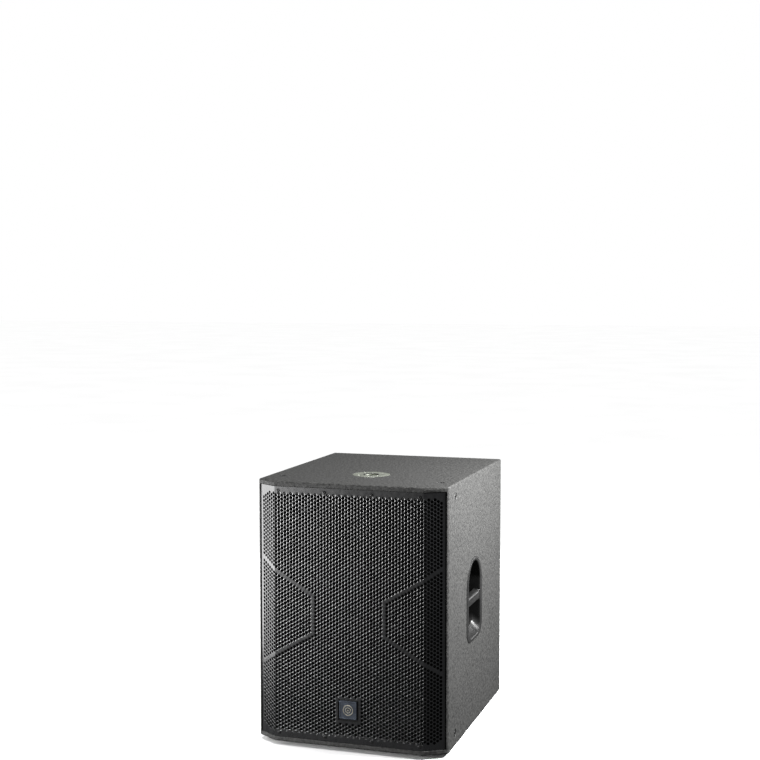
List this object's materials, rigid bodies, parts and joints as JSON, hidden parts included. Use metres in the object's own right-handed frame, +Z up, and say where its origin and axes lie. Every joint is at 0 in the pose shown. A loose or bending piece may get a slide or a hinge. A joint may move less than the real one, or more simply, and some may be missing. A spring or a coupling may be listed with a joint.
{
  "type": "pa subwoofer speaker",
  "caption": "Floor-standing PA subwoofer: plywood cabinet with bevelled front, folded steel grille, side handles, pole socket, rigging points, bass woofer and rear amplifier panel.",
  "frame": {"origin": "on the floor, under the middle of the cabinet's box", "axes": "+Z up, the front faces -Y, +X is on the right seen from the front"},
  "size_m": [0.523, 0.628, 0.7],
  "materials": {
    "cabinet_paint": "black textured polyurea coat on birch plywood, matt with a fine orange-peel grain",
    "plywood": "bare birch plywood, inside the cabinet",
    "grille_steel": "satin black powder coat on perforated steel",
    "screw_steel": "black zinc",
    "foam": "black reticulated acoustic foam",
    "badge_metal": "dark blue-grey satin plate",
    "socket_metal": "satin cast aluminium",
    "plastic": "moulded black plastic, light grain",
    "rubber": "matt black rubber",
    "cone_paper": "black treated paper",
    "basket": "black painted cast aluminium",
    "motor_steel": "zinc plated steel",
    "ferrite": "dark grey ferrite",
    "coil_copper": "copper winding",
    "suspension_cloth": "resin treated cotton",
    "amp_black": "black anodised or powder coated aluminium",
    "sheet_metal": "zinc plated sheet steel",
    "circuit": "green circuit board",
    "knob_plastic": "soft matt knob plastic",
    "lens": "translucent green lens"
  },
  "bodies": {
    "cabinet": {"top_panel": "cabinet_paint", "bottom_panel": "cabinet_paint", "side_panel_left": "cabinet_paint", "side_panel_right": "cabinet_paint", "rear_panel": "cabinet_paint", "baffle_board": "cabinet_paint", "cross_brace": "plywood", "front_grille": "grille_steel", "grille_rail_top": "cabinet_paint", "grille_rail_bottom": "cabinet_paint", "grille_foam": "foam", "badge_plate": "badge_metal", "handle_left": "plastic", "handle_right": "plastic", "pole_socket": "socket_metal", "port_tube_left": "plastic", "port_tube_right": "plastic", "woofer_basket": "basket", "woofer_surround": "rubber", "woofer_spider": "suspension_cloth", "magnet_top_plate": "motor_steel", "ferrite_magnet": "ferrite", "pole_piece_yoke": "motor_steel", "amp_panel": "amp_black", "heat_sink": "amp_black", "xlr_input": "screw_steel", "xlr_link_output": "screw_steel", "status_light": "lens", "switch_frame": "plastic", "mains_inlet": "plastic", "amp_board": "circuit", "toroidal_transformer": "coil_copper", "amp_cover": "sheet_metal", "speaker_cable": "rubber", "grille_screw_top_1": "screw_steel", "grille_screw_top_2": "screw_steel", "grille_screw_top_3": "screw_steel", "grille_screw_top_4": "screw_steel", "grille_screw_bottom_1": "screw_steel", "grille_screw_bottom_2": "screw_steel", "grille_screw_bottom_3": "screw_steel", "grille_screw_bottom_4": "screw_steel", "rigging_plug_top_left": "screw_steel", "rigging_plug_left_upper": "screw_steel", "rigging_plug_left_lower": "screw_steel", "foot_front_left": "rubber", "foot_back_left": "rubber", "rigging_plug_top_right": "screw_steel", "rigging_plug_right_upper": "screw_steel", "rigging_plug_right_lower": "screw_steel", "foot_front_right": "rubber", "foot_back_right": "rubber"},
    "cone_assembly": {"woofer_cone": "cone_paper", "dust_cap": "cone_paper", "voice_coil": "coil_copper"},
    "level_control": {"level_knob": "knob_plastic"},
    "crossover_control": {"crossover_knob": "knob_plastic"},
    "phase_switch": {"phase_button": "knob_plastic"},
    "mains_switch": {"power_switch": "knob_plastic"},
    "input_latch": {"xlr_latch": "sheet_metal"}
  },
  "joints": [
    {"name": "cone_travel", "type": "slide", "parent": "cabinet", "child": "cone_assembly", "axis": [0, -1, 0], "range_m": [-0.009, 0.009], "stiffness_N_per_m": 9000, "deforming": ["woofer_surround", "woofer_spider"]},
    {"name": "level_turn", "type": "hinge", "parent": "cabinet", "child": "level_control", "pos_m": [0.112, 0.2936, 0.3], "axis": [0, 1, 0], "range_deg": [-150, 150]},
    {"name": "crossover_turn", "type": "hinge", "parent": "cabinet", "child": "crossover_control", "pos_m": [0.064, 0.2936, 0.3], "axis": [0, 1, 0], "range_deg": [-150, 150]},
    {"name": "phase_press", "type": "slide", "parent": "cabinet", "child": "phase_switch", "axis": [0, -1, 0], "range_m": [0, 0.003], "stiffness_N_per_m": 400},
    {"name": "power_rock", "type": "hinge", "parent": "cabinet", "child": "mains_switch", "pos_m": [-0.11, 0.2907, 0.3], "axis": [1, 0, 0], "range_deg": [0, 16]},
    {"name": "latch_press", "type": "slide", "parent": "cabinet", "child": "input_latch", "axis": [0, -1, 0], "range_m": [0, 0.0015], "stiffness_N_per_m": 1500}
  ]
}
